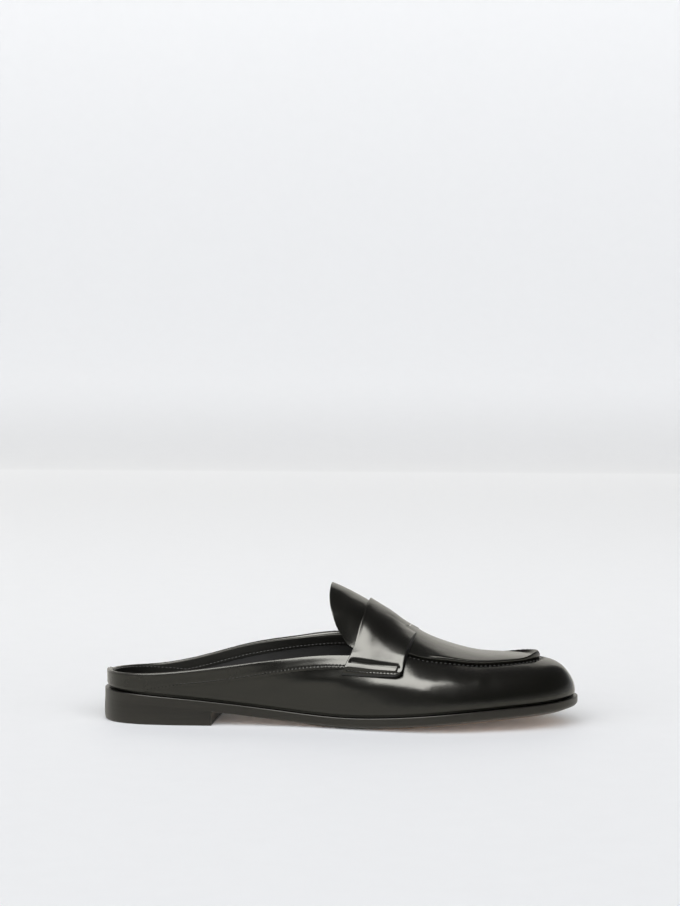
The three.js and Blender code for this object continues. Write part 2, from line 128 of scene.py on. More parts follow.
def curve(xs, ys):
    count = len(xs)
    step = np.diff(xs)
    slope = np.diff(ys) / step
    matrix = np.eye(count)
    right = np.zeros(count)
    for i in range(1, count - 1):
        matrix[i, i - 1 : i + 2] = step[i - 1], 2 * (step[i - 1] + step[i]), step[i]
        right[i] = 6 * (slope[i] - slope[i - 1])
    bend = np.linalg.solve(matrix, right)

    def at(x):
        x = np.clip(x, xs[0], xs[-1])
        i = np.clip(np.searchsorted(xs, x, side="right") - 1, 0, count - 2)
        a = (xs[i + 1] - x) / step[i]
        b = 1 - a
        cubic = ((a**3 - a) * bend[i] + (b**3 - b) * bend[i + 1]) * step[i] ** 2 / 6
        return a * ys[i] + b * ys[i + 1] + cubic

    return at


def angle_of(share):
    return math.acos(1 - 2 * share)


def angle_at(x):
    return angle_of(x / SOLE_LENGTH)


plan_lateral, plan_medial = curves(PLAN, angle_of)
seat_share, spring_share = curves(SEAT_LINE)
crest_share, crest_across, section_power, bulge_share = curves(LAST)
rim_lateral, rim_medial = curves(TOPLINE)
(band_drop,) = curves(BAND_EDGE)
(tongue_back,) = curves(TONGUE_EDGE)
strap_rear, strap_front = curves(STRAP_EDGE)


def length_at(angle):
    return (1 - np.cos(angle)) / 2 * SOLE_LENGTH


def smooth(x, low, high):
    """A soft step from 0 to 1 between low and high."""
    t = np.clip((np.asarray(x, float) - low) / (high - low), 0, 1)
    return t * t * (3 - 2 * t)


def hill(x, centre, width):
    """A soft ridge of height 1 at centre, that dies away within about two widths."""
    return np.exp(-(((np.asarray(x, float) - centre) / width) ** 2))


def sole_top(x):
    return SEAT_HEIGHT * seat_share(x / SOLE_LENGTH) + TOE_SPRING * spring_share(x / SOLE_LENGTH)


def sole_edge(x):
    return np.maximum(0, sole_top(x) - SOLE_THICKNESS)


def crest_height(x):
    return APRON_HEIGHT + (INSTEP_HEIGHT - APRON_HEIGHT) * crest_share(x / SOLE_LENGTH)


def rim_height(x, side):
    share = np.where(side < 0, rim_lateral(x / SOLE_LENGTH), rim_medial(x / SOLE_LENGTH))
    throat = np.where(side < 0, THROAT_HEIGHT, THROAT_HEIGHT + MEDIAL_RISE)
    return COLLAR_HEIGHT + (throat - COLLAR_HEIGHT) * share


def outline(angle, side, inset):
    """A point of the sole's outline, drawn in by inset. The angle runs from 0 at the heel to pi."""

    def place(a):
        across = np.where(side < 0, -plan_lateral(a), plan_medial(a)) * BALL_WIDTH
        return length_at(a), across

    step = 0.002
    x0, y0 = place(np.maximum(angle - step, 0))
    x1, y1 = place(np.minimum(angle + step, math.pi))
    dx, dy = x1 - x0, y1 - y0
    length = np.hypot(dx, dy)
    dx, dy = dx / length, dy / length
    dy = np.where(angle < step, side, np.where(angle > math.pi - step, -side, dy))
    dx = np.where((angle < step) | (angle > math.pi - step), 0, dx)
    x, y = place(angle)
    return x + side * dy * inset, y - side * dx * inset


def crest_point(x):
    """The centre that the walls turn to: straight across, except round the heel and the toe."""

    def ease(past):
        blend = (past + FAN_BLEND) ** 2 / (4 * FAN_BLEND)
        return np.where(past > FAN_BLEND, past, np.where(past < -FAN_BLEND, 0, blend))

    share = x / SOLE_LENGTH
    centre = HEEL_FAN + ease(share - HEEL_FAN) - ease(share - TOE_FAN)
    return centre * SOLE_LENGTH, crest_across(centre) * BALL_WIDTH


def form(angle, side, wall, grow=0.0):
    """A point of the upper's form, grown outwards. wall: 0 at the feather line, 1 at the crest."""
    angle, side, wall, grow = np.broadcast_arrays(angle, side, wall, grow)
    foot_x, foot_y = outline(angle, side, SOLE_LEDGE - grow)
    crest_x, crest_y = crest_point(length_at(angle))
    share = foot_x / SOLE_LENGTH
    power = 2 / section_power(share)
    turn = np.clip(wall, 0, 1) * math.pi / 2
    out = np.where(wall >= 1, 0, np.maximum(np.cos(turn), 0) ** power)
    up = np.sin(turn) ** power
    reach_x, reach_y = foot_x - crest_x, foot_y - crest_y
    swell = WALL_BULGE * bulge_share(share) * 4 * up * (1 - up) ** 2
    scale = out + swell / np.hypot(reach_x, reach_y)
    x, y = crest_x + reach_x * scale, crest_y + reach_y * scale
    floor = sole_top(foot_x) + GAP
    z = floor + (crest_height(x) + grow - floor) * up
    return np.stack([x, y, z], axis=-1)


# Soft troughs and ridges of the worn-in leather: side, place along the shoe, height, half length, half
# height, lean of its axis in degrees, and how far it stands out.
FOLDS = [
    (LATERAL, 172, 26.9, 23, 5.6, 0, 0.85),
    (LATERAL, 198, 30, 11, 7, 0, 0.55),
    (LATERAL, 186, 24.5, 8, 5.5, 0, 0.6),
    (LATERAL, 156, 55, 10, 7.5, 0, 0.55),
    (LATERAL, 213.5, 28.8, 3.4, 2.6, 0, 0.28),
    (LATERAL, 220, 24.5, 5, 5, 15, -0.12),
    (LATERAL, 127, 26.5, 17, 4.4, 6, 0.8),
    (LATERAL, 92, 22, 30, 3.5, 8, -0.1),
    (MEDIAL, 192, 26, 20, 6, 0, 0.7),
    (MEDIAL, 214, 27, 6, 4, 25, 0.2),
    (MEDIAL, 220, 24, 6, 5, 0, -0.12),
    (MEDIAL, 110, 31, 26, 4, 12, 0.15),
]


def relief(point, side):
    """How far the worn leather stands out from the form."""
    x, z = point[..., 0], point[..., 2]
    rise = np.zeros_like(x)
    for hand, at_x, at_z, half_x, half_z, lean, height in FOLDS:
        c, s = math.cos(math.radians(lean)), math.sin(math.radians(lean))
        along = ((x - at_x) * c + (z - at_z) * s) / half_x
        across = (-(x - at_x) * s + (z - at_z) * c) / half_z
        rise = rise + np.where(side == hand, height * np.exp(-(along**2) - across**2), 0)
    # The tongue flares behind the strap.
    behind = np.maximum(strap_rear(strap_up(z)) * SOLE_LENGTH + 2.5 - x, 0)
    rise = rise + 0.14 * behind**2 / (behind + 2) * smooth(z, 45, 54) * (1 - smooth(z, 58, 72))
    # The apron swells behind its seam and sinks before it, and the toe's shoulder is full.
    near_crest = smooth(z - crest_height(x), -11, -3)
    rise = rise + near_crest * (0.5 * hill(x, 187, 10) - 0.6 * hill(x, 210, 11))
    rise = rise + 0.7 * hill(x, 254, 9) * smooth(z, 24, 33)
    # The topline leans in along the instep.
    over = np.maximum(z - (rim_height(x, side) - 8), 0)
    near = smooth(x, 80, 110) * (1 - smooth(x, 138, 154)) * (1 - smooth(over, 9, 30))
    over = np.minimum(over, 8.5)
    rise = rise - near * 0.22 * over**2 / (over + 2)
    # The strap's foot presses in, and the upper tucks in over the sole.
    rise = rise - 0.65 * smooth(z, 22.5, 30) * (1 - smooth(z, 38, 62)) * hill(x, 150, 22)
    return rise - 0.9 * hill(z, sole_top(x) + GAP, 1.1)


def skin(angle, side, wall, grow=0.0):
    """A point of the form with its relief."""
    angle, side, wall, grow = np.broadcast_arrays(angle, side, wall, grow)
    return form(angle, side, wall, grow + relief(form(angle, side, wall), side))


def solve(function, low, high, shape):
    """Where a rising function passes zero, for a whole array at once."""
    low, high = np.full(shape, float(low)), np.full(shape, float(high))
    for _ in range(44):
        middle = (low + high) / 2
        below = function(middle) < 0
        low, high = np.where(below, middle, low), np.where(below, high, middle)
    return (low + high) / 2


def wall_at(angle, side, height):
    """The wall share at which a column passes a height, given as a function of x and side."""

    def past(wall):
        point = form(angle, side, wall)
        return point[..., 2] - height(point[..., 0], side)

    return solve(past, 0, 1, np.broadcast(angle, side).shape)


def rim_wall(angle, side):
    return wall_at(angle, side, rim_height)


def band_wall(angle, side):
    def lower(x, hand):
        return rim_height(x, hand) - BAND_DEPTH * band_drop(x / SOLE_LENGTH)

    return np.maximum(wall_at(angle, side, lower), 0.0004)


def strap_up(z):
    return (z - STRAP_FOOT_HEIGHT) / (INSTEP_HEIGHT - STRAP_FOOT_HEIGHT)


def by_side(side, x, xs, tables):
    """A value from the table of each point's own side."""
    return np.where(side < 0, np.interp(x, xs, tables[LATERAL]), np.interp(x, xs, tables[MEDIAL]))


def table_of(edge):
    """For each side, the angle at which a row of the wall meets an edge, as a table over the wall."""
    walls = np.linspace(0.05, 1, 120)
    found = {}
    for hand in SIDES:

        def past(angle):
            point = form(angle, hand, walls)
            return point[..., 0] - edge(point[..., 2], hand)

        found[hand] = solve(past, angle_at(100), angle_at(200), walls.shape)
    return lambda side, wall: by_side(side, wall, walls, found)


def tongue_edge(z, side):
    throat = rim_height(THROAT_AT, side)
    up = (z - throat) / (INSTEP_HEIGHT - throat)
    return THROAT_AT - (THROAT_AT - INSTEP_AT) * tongue_back(up)


rear_angle = table_of(lambda z, side: strap_rear(strap_up(z)) * SOLE_LENGTH)
front_angle = table_of(lambda z, side: strap_front(strap_up(z)) * SOLE_LENGTH)
tongue_angle = table_of(tongue_edge)


def apron_wall(angle, side):
    """The wall share at which a column crosses the apron's outline."""
    centre_y = crest_across(THROAT_AT / SOLE_LENGTH) * BALL_WIDTH
    rear_x = THROAT_AT + 10
    # The medial edge is drawn in where the last narrows, to stay above the strap's foot.
    medial_draw = 3.6

    def past(wall):
        point = form(angle, side, wall)
        along = np.maximum(point[..., 0] - rear_x, 0) / (APRON_FRONT_AT - rear_x)
        drawn = np.where(side > 0, medial_draw * (1 - smooth(point[..., 0], 160, 200)), 0)
        across = np.abs(point[..., 1] - centre_y) / (APRON_HALF_WIDTH - drawn)
        return 1 - along**APRON_POWER - across**APRON_POWER

    return solve(past, 0, 1, np.broadcast(angle, side).shape)


# Meshes

outsole_low, outsole_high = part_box("outsole")
ring = np.linspace(0, math.pi, 400)
widest = outline(ring, np.full(400, MEDIAL), 0.0)[1].max()
SHIFT = np.array([outsole_low[0] * 1000, outsole_high[1] * 1000 - widest, 0.0])


def place_object(name, data):
    made = bpy.data.objects.new(name, data)
    bpy.context.scene.collection.objects.link(made)
    return made


def add_mesh(name, points, faces, materials, tones=None, weld=False, flip=False, sharp=40):
    """A shown piece on the shoe. tones gives each face's material where there are several."""
    mesh = bpy.data.meshes.new(name)
    points = (np.asarray(points, float).reshape(-1, 3) + SHIFT) / 1000
    mesh.from_pydata(points.tolist(), [], [list(face)[:: -1 if flip else 1] for face in faces])
    for material in materials:
        mesh.materials.append(material)
    if tones is not None:
        mesh.polygons.foreach_set("material_index", tones)
    if weld:
        edit = bmesh.new()
        edit.from_mesh(mesh)
        bmesh.ops.remove_doubles(edit, verts=edit.verts, dist=2e-6)
        bmesh.ops.dissolve_degenerate(edit, edges=edit.edges, dist=1e-7)
        edit.to_mesh(mesh)
        edit.free()
    mesh.polygons.foreach_set("use_smooth", [True] * len(mesh.polygons))
    mesh.set_sharp_from_angle(angle=math.radians(sharp))
    return place_object(name, mesh)


def gridded(points, wrap=False):
    """A grid of points and its quads. The vertices run along its columns first."""
    rows, columns = points.shape[:2]
    faces = []
    for i in range(rows - 1 + wrap):
        j = (i + 1) % rows
        for k in range(columns - 1):
            a, b = i * columns + k, j * columns + k
            faces.append((a, b, b + 1, a + 1))
    return points, faces


def stations(count, rolls, thick, ease):
    """Places along one side of a sheet: share of the way, shift in millimetres, share of the thickness.
    An ease above 1 draws them closer together towards the start."""
    turn = np.linspace(0, math.pi / 2, 5)
    first, last = [
        [(roll * (1 - math.cos(t)), 1 - roll / thick * (1 - math.sin(t))) for t in turn] for roll in rolls
    ]
    places = [(0, 0, 0)] + [(0, d, q) for d, q in first] if rolls[0] else [(0, 0, 1)]
    for i in range(1, count):
        t = (i / count) ** ease
        places.append((t, rolls[0] * (1 - t) - rolls[1] * t, 1))
    places += [(1, -d, q) for d, q in reversed(last)] + [(1, 0, 0)] if rolls[1] else [(1, 0, 1)]
    return np.array(places).T


def sheet(place, counts, low, high, rolls, rise=None, ease=1.0):
    """A sheet of leather over the unit square: its points, its faces and the millimetres of each point
    from the start. rolls holds the radius of its four edges, 0 where an edge has none."""
    thick = abs(high - low)
    u_share, u_shift, u_up = stations(counts[0], rolls[0], thick, 1.0)
    v_share, v_shift, v_up = stations(counts[1], rolls[1], thick, ease)
    probe = np.linspace(0, 1, 60)
    middle = place(*np.meshgrid(probe, [0.5], indexing="ij"), high)[:, 0]
    u_length = np.linalg.norm(np.diff(middle, axis=0), axis=1).sum()
    u = np.clip(u_share + u_shift / u_length, 0, 1)
    across = place(*np.meshgrid(u, probe, indexing="ij"), high)
    v_length = np.linalg.norm(np.diff(across, axis=1), axis=2).sum(axis=1)
    v = np.clip(v_share[None, :] + v_shift[None, :] / np.maximum(v_length, 0.01)[:, None], 0, 1)
    u = np.broadcast_to(u[:, None], v.shape)
    up = np.minimum(u_up[:, None], v_up[None, :])
    from_start = u * u_length
    from_low = v * v_length[:, None]
    from_high = v_length[:, None] - from_low
    grow = low + (high - low) * up
    if rise is not None:
        grow = grow + up * rise(from_start, u_length - from_start, from_low, from_high)
    return *gridded(place(u, v, grow)), from_start


def lerp(a, b, t):
    return a + (b - a) * t


def there_and_back(angles):
    """Angles along the lateral side and back along the medial side, with the side of each."""
    side = np.concatenate([np.full(len(angles), LATERAL), np.full(len(angles) - 1, MEDIAL)])
    return np.concatenate([angles, angles[-2::-1]]), side


def run_of(line):
    """Millimetres along a line of points, from its first."""
    return np.concatenate([[0], np.cumsum(np.linalg.norm(np.diff(line, axis=0), axis=1))])


def wall_depth(angle, side, limit):
    """The length of the wall up to a limit, as its top tenth measures it."""
    return np.linalg.norm(form(angle, side, limit) - form(angle, side, limit * 0.9), axis=-1) / 0.1


def thread(path, pitch, length, radius, start=0.5):
    """Points and faces of a row of stitches along a path of (angle, side, wall, grow) rows."""
    angle, side, wall, grow = np.broadcast_arrays(*path)
    line = skin(angle, side, wall, grow)
    run = run_of(line)
    stops = np.arange(start * pitch, run[-1] - 0.3 * pitch, pitch)
    a, w, g, s = [np.interp(stops, run, values) for values in (angle, wall, grow, side)]
    ends = [[np.interp(stops + d, run, line[:, i]) for i in range(3)] for d in (-0.3, 0.3)]
    ahead = np.transpose(np.array(ends[1]) - np.array(ends[0]))
    return beads((a, np.where(s < 0, LATERAL, MEDIAL), w, g), ahead, length, radius)


def beads(places, ahead, length, radius):
    """Points and faces of one stitch at each place, along the directions given."""
    a, s, w, g = np.broadcast_arrays(*places)
    centre = skin(a, s, w, g)
    da = skin(np.clip(a + 0.004, 0, math.pi), s, w, g) - skin(np.clip(a - 0.004, 0, math.pi), s, w, g)
    dw = skin(a, s, np.minimum(w + 0.01, 0.999), g) - skin(a, s, w - 0.01, g)
    up = np.cross(da, dw) * s[:, None] * -1
    up *= np.where(g < -1, -1, 1)[:, None] / np.linalg.norm(up, axis=1, keepdims=True)
    ahead = ahead - up * (ahead * up).sum(1, keepdims=True)
    ahead /= np.linalg.norm(ahead, axis=1, keepdims=True)
    aside = np.cross(up, ahead)
    rings, sides = 7, 6
    t = np.linspace(-1, 1, rings)
    around = np.arange(sides) * 2 * math.pi / sides
    width = radius * np.sqrt(np.maximum(1 - t**4, 0.02))
    local_x = np.repeat(t * length / 2, sides)
    local_y = (width[:, None] * np.cos(around)).ravel()
    local_z = (width[:, None] * np.sin(around) + (radius * (0.75 - 1.5 * t**2))[:, None]).ravel()
    points = (
        centre[:, None]
        + ahead[:, None] * local_x[None, :, None]
        + aside[:, None] * local_y[None, :, None]
        + up[:, None] * local_z[None, :, None]
    )
    faces = []
    for n in range(len(centre)):
        base = n * rings * sides
        for i in range(rings - 1):
            for k in range(sides):
                a, b = base + i * sides + k, base + i * sides + (k + 1) % sides
                faces.append((a, b, b + sides, a + sides))
    return points.reshape(-1, 3), faces


def joined(parts):
    """Several (points, faces) pairs as one."""
    points, faces, start = [], [], 0
    for some, quads in parts:
        some = np.asarray(some).reshape(-1, 3)
        points.append(some)
        faces += [tuple(start + i for i in quad) for quad in quads]
        start += len(some)
    return np.concatenate(points), faces


# Materials

FLOAT, VECTOR = "NodeSocketFloat", "NodeSocketVector"


def group(name, inputs, outputs):
    """A shared node group with float inputs."""
    tree = bpy.data.node_groups.new(name, "ShaderNodeTree")
    for label, value in inputs.items():
        socket = tree.interface.new_socket(name=label, in_out="INPUT", socket_type=FLOAT)
        socket.default_value = value
    for label, kind in outputs.items():
        tree.interface.new_socket(name=label, in_out="OUTPUT", socket_type=kind)
    return tree, tree.nodes.new("NodeGroupInput").outputs, tree.nodes.new("NodeGroupOutput")


def feed(tree, made, sources):
    """Gives sockets a value, or the output that feeds them."""
    for socket, source in sources.items():
        if hasattr(source, "is_output"):
            tree.links.new(source, made.inputs[socket])
        else:
            made.inputs[socket].default_value = source


def node(tree, kind, sources=None, **settings):
    made = tree.nodes.new("ShaderNode" + kind)
    for key, value in settings.items():
        setattr(made, key, value)
    feed(tree, made, sources or {})
    return made


def maths(tree, operation, a, b=0.0, c=0.0):
    return node(tree, "Math", {0: a, 1: b, 2: c}, operation=operation).outputs[0]


def noise(tree, place, scale, detail):
    return node(tree, "TexNoise", {"Vector": place, "Scale": scale, "Detail": detail}).outputs[0]


def bump(tree, height, distance, normal=None):
    sources = {"Height": height, "Distance": distance}
    if normal is not None:
        sources["Normal"] = normal
    return node(tree, "Bump", sources).outputs[0]


def ramp(tree, value, low, high, start, end):
    """Goes softly from start to end while the value goes from low to high."""
    sources = {"Value": value, "From Min": low, "From Max": high, "To Min": start, "To Max": end}
    return node(tree, "MapRange", sources, interpolation_type="SMOOTHSTEP").outputs[0]


def coordinates(tree, kind="Object"):
    return node(tree, "TexCoord").outputs[kind]


def make_grain():
    """Pores and small folds of polished leather, and the slow waves that its highlights follow."""
    tree, given, out = group("leather grain", {"Waves": 1.0}, {"Normal": VECTOR, "Mottle": FLOAT})
    place = coordinates(tree)
    pore = node(tree, "TexVoronoi", {"Vector": place, "Scale": 1500.0}, feature="F1").outputs["Distance"]
    height = maths(tree, "ADD", maths(tree, "MULTIPLY", pore, 0.5), noise(tree, place, 900.0, 3.0))
    middle = noise(tree, place, 160.0, 3.0)
    waves = maths(tree, "MULTIPLY_ADD", middle, 0.12, noise(tree, place, 42.0, 2.0))
    waves = maths(tree, "MULTIPLY", waves, given["Waves"])
    normal = bump(tree, height, 0.000016, bump(tree, waves, 0.0007))
    feed(tree, out, {"Normal": normal, "Mottle": middle})
    return tree


def make_wear():
    """Handling: a slow change of gloss."""
    tree, given, out = group("handling", {"Gloss": 0.3, "Spread": 0.07}, {"Roughness": FLOAT})
    place = coordinates(tree)
    speck = maths(tree, "MULTIPLY", noise(tree, place, 240.0, 5.0), 0.5)
    change = maths(tree, "SUBTRACT", maths(tree, "ADD", noise(tree, place, 28.0, 4.0), speck), 0.75)
    rough = maths(tree, "MULTIPLY_ADD", change, given["Spread"], given["Gloss"])
    feed(tree, out, {"Roughness": rough})
    return tree


def make_fibre():
    """Cut or matt leather: fine fibres and pits."""
    tree, given, out = group(
        "leather fibre", {"Depth": 1.0, "Scale": 700.0}, {"Normal": VECTOR, "Shade": FLOAT}
    )
    place = coordinates(tree)
    fine = noise(tree, place, given["Scale"], 6.0)
    height = maths(tree, "MULTIPLY", fine, given["Depth"])
    shade = maths(tree, "MULTIPLY_ADD", fine, 0.4, noise(tree, place, 60.0, 3.0))
    feed(tree, out, {"Normal": bump(tree, height, 0.00006), "Shade": shade})
    return tree


GRAIN, WEAR, FIBRE = make_grain(), make_wear(), make_fibre()


def use(tree, shared, **inputs):
    made = tree.nodes.new("ShaderNodeGroup")
    made.node_tree = shared
    feed(tree, made, inputs)
    return made.outputs


def blank(name):
    material = bpy.data.materials.new(name)
    material.use_nodes = True
    tree = material.node_tree
    return material, tree, tree.nodes["Principled BSDF"]


def mixed(tree, fraction, first, second):
    return node(tree, "Mix", {0: fraction, 6: first, 7: second}, data_type="RGBA").outputs[2]


def two_tone(tree, fraction, dark, light):
    return mixed(tree, fraction, (*dark, 1), (*light, 1))


def polished(name, gloss=0.24, coat=0.12, tint=(0.0022, 0.0022, 0.0016), waves=1.0):
    """Polished box leather."""
    material, tree, shader = blank(name)
    grain = use(tree, GRAIN, Waves=waves)
    light = tuple(1.55 * c for c in tint)
    sources = {
        "Base Color": two_tone(tree, grain["Mottle"], tint, light),
        "Roughness": use(tree, WEAR, Gloss=gloss)["Roughness"],
        "Normal": grain["Normal"],
        "Coat Weight": coat,
        "Coat Roughness": 0.16,
        "Specular Tint": (1.0, 0.985, 0.9, 1),
    }
    feed(tree, shader, sources)
    return material


def matt(name, dark, light, rough=0.7, depth=1.0, scale=700.0):
    """Lining, sock, thread and cut leather."""
    material, tree, shader = blank(name)
    fibre = use(tree, FIBRE, Depth=depth, Scale=scale)
    sources = {
        "Base Color": two_tone(tree, fibre["Shade"], dark, light),
        "Roughness": use(tree, WEAR, Gloss=rough, Spread=0.1)["Roughness"],
        "Normal": fibre["Normal"],
    }
    feed(tree, shader, sources)
    return material


def dressed_edge(name):
    """The black edge of sole and heel: layered leather under a waxed dressing."""
    material, tree, shader = blank(name)
    place = coordinates(tree)
    height = node(tree, "SeparateXYZ", {0: place}).outputs[2]
    level = maths(tree, "MULTIPLY_ADD", noise(tree, place, 30.0, 2.0), 0.0006, height)
    layers = maths(tree, "SINE", maths(tree, "MULTIPLY", level, 2200.0))
    fibre = use(tree, FIBRE, Depth=0.5, Scale=500.0)
    sources = {
        "Base Color": two_tone(tree, fibre["Shade"], (0.0018, 0.0016, 0.0013), (0.0036, 0.0032, 0.0026)),
        "Roughness": use(tree, WEAR, Gloss=0.4, Spread=0.12)["Roughness"],
        "Normal": bump(tree, layers, 0.000012, fibre["Normal"]),
        "Coat Weight": 0.15,
        "Coat Roughness": 0.3,
        "Specular Tint": (1.0, 0.97, 0.88, 1),
    }
    feed(tree, shader, sources)
    return material


upper_leather = polished("polished box leather")
strap_leather = polished("polished strap leather", gloss=0.25, waves=0.8)
band_leather = polished("polished band leather", gloss=0.27, waves=0.6)
facing_leather = polished("facing leather", gloss=0.42, coat=0.0, tint=(0.004, 0.004, 0.0034))
lining_leather = matt("lining leather", (0.006, 0.006, 0.0055), (0.014, 0.014, 0.0125), rough=0.6)
sock_leather = matt("sock leather", (0.007, 0.007, 0.0065), (0.017, 0.0165, 0.015), rough=0.55, scale=500.0)
tread_leather = matt("natural sole leather", (0.30, 0.17, 0.085), (0.52, 0.33, 0.19), rough=0.55, depth=0.6)
edge_leather = dressed_edge("dressed sole edge")
heel_leather = dressed_edge("dressed heel")
thread_finish = matt("waxed thread", (0.003, 0.003, 0.0028), (0.009, 0.009, 0.008), rough=0.62, scale=2600.0)
band_thread = matt("band thread", (0.012, 0.012, 0.011), (0.03, 0.03, 0.027), rough=0.6, scale=2600.0)
inner_thread = matt("inner thread", (0.03, 0.03, 0.028), (0.065, 0.065, 0.06), rough=0.6, scale=2600.0)
painted_edge = matt("painted edge", (0.0016, 0.0016, 0.0014), (0.004, 0.004, 0.0035), rough=0.5, depth=0.5)
# The cut-out's raw edge is a real cut edge, coloured near white as a painted glint.
raw_edge_painted_glint = matt("raw cut edge, painted glint", (0.62, 0.6, 0.55), (0.8, 0.78, 0.72), rough=0.6, depth=0.5, scale=1800.0)

# The upper: outer skin, rolled rim and lining in one piece, with the tongue.

THROAT_ANGLE = angle_at(THROAT_AT)
WALL_ROWS, TOP_ROWS, LINING_ROWS, ROLL_ROWS = 44, 12, 20, 9
# The pitch of the pleats under the apron's seam and of the stitches in them.
PLEAT = 2.5


def limit_wall(angle, side):
    """Where the visible wall ends: at the rim, under the strap, or at the apron's seam."""
    x = length_at(angle)
    rim = rim_wall(np.minimum(angle, THROAT_ANGLE), side)
    seam = apron_wall(np.maximum(angle, angle_at(THROAT_AT + 14)), side)
    return lerp(rim, seam, smooth(x, THROAT_AT, THROAT_AT + 18))


def seam_run(angle, side):
    """Millimetres along the apron's seam from the strap, for the gathers."""
    angles = np.linspace(THROAT_ANGLE, math.pi, 500)
    runs = {hand: run_of(form(angles, hand, limit_wall(angles, hand))) for hand in SIDES}
    return by_side(side, angle, angles, runs)


def gathers(run, off, x):
    """The skirt tucked in under the apron's seam: a trough with small pleats across it."""
    front = smooth(x, THROAT_AT + 16, THROAT_AT + 24)
    pleat = 0.16 * np.cos(2 * math.pi * run / PLEAT) * hill(off, 1.6, 1.7)
    return front * (pleat - 0.75 * hill(off, 0.0, 1.9))


def make_upper():
    parts = []
    fractions = 1 - (1 - np.linspace(0, 1, WALL_ROWS + 1)) ** 1.35
    # The quarters: from the lateral throat round the heel to the medial throat.
    angle, side = there_and_back(np.linspace(THROAT_ANGLE, 0, 131))
    top = rim_wall(angle, side)
    near = form(angle, side, top)
    slope = np.linalg.norm(form(angle, side, top + 0.01) - near, axis=-1) / 0.01
    columns = [(top * f, 0.0) for f in fractions]
    radius = UPPER_WALL / 2
    turns = [math.pi * k / ROLL_ROWS for k in range(1, ROLL_ROWS)]
    for turn in turns:
        columns.append((top + 0.55 * math.sin(turn) / slope, -radius * (1 - math.cos(turn))))
    columns += [(top * (1 - 0.85 * k / LINING_ROWS), -UPPER_WALL) for k in range(LINING_ROWS + 1)]
    parts.append(gridded(np.stack([skin(angle, side, w, g) for w, g in columns[::-1]], axis=1)))
    # The vamp: outer skin and lining, from the lateral throat round the toe to the medial throat.
    angle, side = there_and_back(np.linspace(THROAT_ANGLE, math.pi, 231))
    limit = limit_wall(angle, side)
    run = seam_run(angle, side)
    depth = wall_depth(angle, side, limit)
    above = [lerp(limit, 1.0, (k + 1) / TOP_ROWS) for k in range(TOP_ROWS)]
    walls = [limit * f for f in fractions] + above
    outer = []
    for wall in walls:
        base = form(angle, side, wall)
        off = depth * (1 - wall / limit)
        outer.append(skin(angle, side, wall, gathers(run, np.maximum(off, 0), base[..., 0])))
    parts.append(gridded(np.stack(outer, axis=1)))
    inner = [limit * (0.15 + 0.85 * k / LINING_ROWS) for k in range(LINING_ROWS + 1)] + above
    parts.append(gridded(np.stack([skin(angle, side, wall, -UPPER_WALL) for wall in inner[::-1]], axis=1)))
    # The tongue, from its back edge to the throat.
    steps = np.linspace(0, 1, 40) ** 1.2
    for hand in SIDES:
        low = rim_wall(np.array([THROAT_ANGLE]), hand)[0]
        wall = lerp(low, 1.0, np.linspace(0, 1, TOP_ROWS * 2 + 1))
        edge = tongue_angle(hand, wall)
        pace = np.linalg.norm(form(edge + 0.01, hand, wall) - form(edge, hand, wall), axis=-1) / 0.01
        rows = [(lerp(edge, THROAT_ANGLE, share), 0.0) for share in steps[::-1]]
        for turn in turns:
            rows.append((edge - 0.45 * math.sin(turn) / pace, -radius * (1 - math.cos(turn))))
        rows += [(lerp(edge, THROAT_ANGLE, share), -UPPER_WALL) for share in steps]
        points, faces = gridded(np.stack([skin(across, hand, wall, grow) for across, grow in rows]))
        parts.append((points, faces if hand > 0 else [face[::-1] for face in faces]))
    return add_mesh("upper_skin", *joined(parts), [upper_leather], weld=True, sharp=60)


upper = make_upper()

# The band outside the collar, the facing inside it and the lining below that.


def collar_ring(u):
    """Shares 0 to 1 run from the lateral strap round the heel to the medial strap."""
    return angle_at(THROAT_AT - 4) * np.abs(2 * u - 1), np.where(u < 0.5, LATERAL, MEDIAL)


BAND_STITCH_LINE, BAND_PITCH = 1.75, 2.1


def band_seam(x, side):
    """The height of the band's stitches, above its lower edge."""
    return rim_height(x, side) - BAND_DEPTH * band_drop(x / SOLE_LENGTH) + BAND_STITCH_LINE


def seam_table():
    """For each side, the run of the band's stitch line from the heel against the angle."""
    angles = np.linspace(0, angle_at(THROAT_AT), 500)
    runs = {}
    for hand in SIDES:
        runs[hand] = run_of(form(angles, hand, np.maximum(wall_at(angles, hand, band_seam), 0.03), 0.6))
    return angles, runs


BAND_ANGLES, BAND_RUNS = seam_table()


def make_band():
    def place(u, v, grow):
        angle, side = collar_ring(u)
        low, high = band_wall(angle, side), rim_wall(angle, side)
        base = form(angle, side, lerp(low, high, v))
        run = by_side(side, angle, BAND_ANGLES, BAND_RUNS)
        off = base[..., 2] - band_seam(base[..., 0], side)
        pit = (0.5 - 0.5 * np.cos(2 * math.pi * run / BAND_PITCH)) ** 1.5 * hill(off, 0.0, 0.5)
        pit = pit * smooth(base[..., 0], 20, 24)
        return skin(angle, side, lerp(low, high, v), grow - 0.42 * pit * smooth(grow, 0.2, 0.7))

    def swell(start, end, low, high):
        return 0.1 * hill(high, 1.6, 1.6) - 0.3 * (1 - smooth(low, 0.2, 1.5))

    made = sheet(place, (900, 30), 0.0, 0.85, ((0.3, 0.3), (0.25, 0.42)), rise=swell)[:2]
    return add_mesh("collar_band_skin", *made, [band_leather], flip=True)


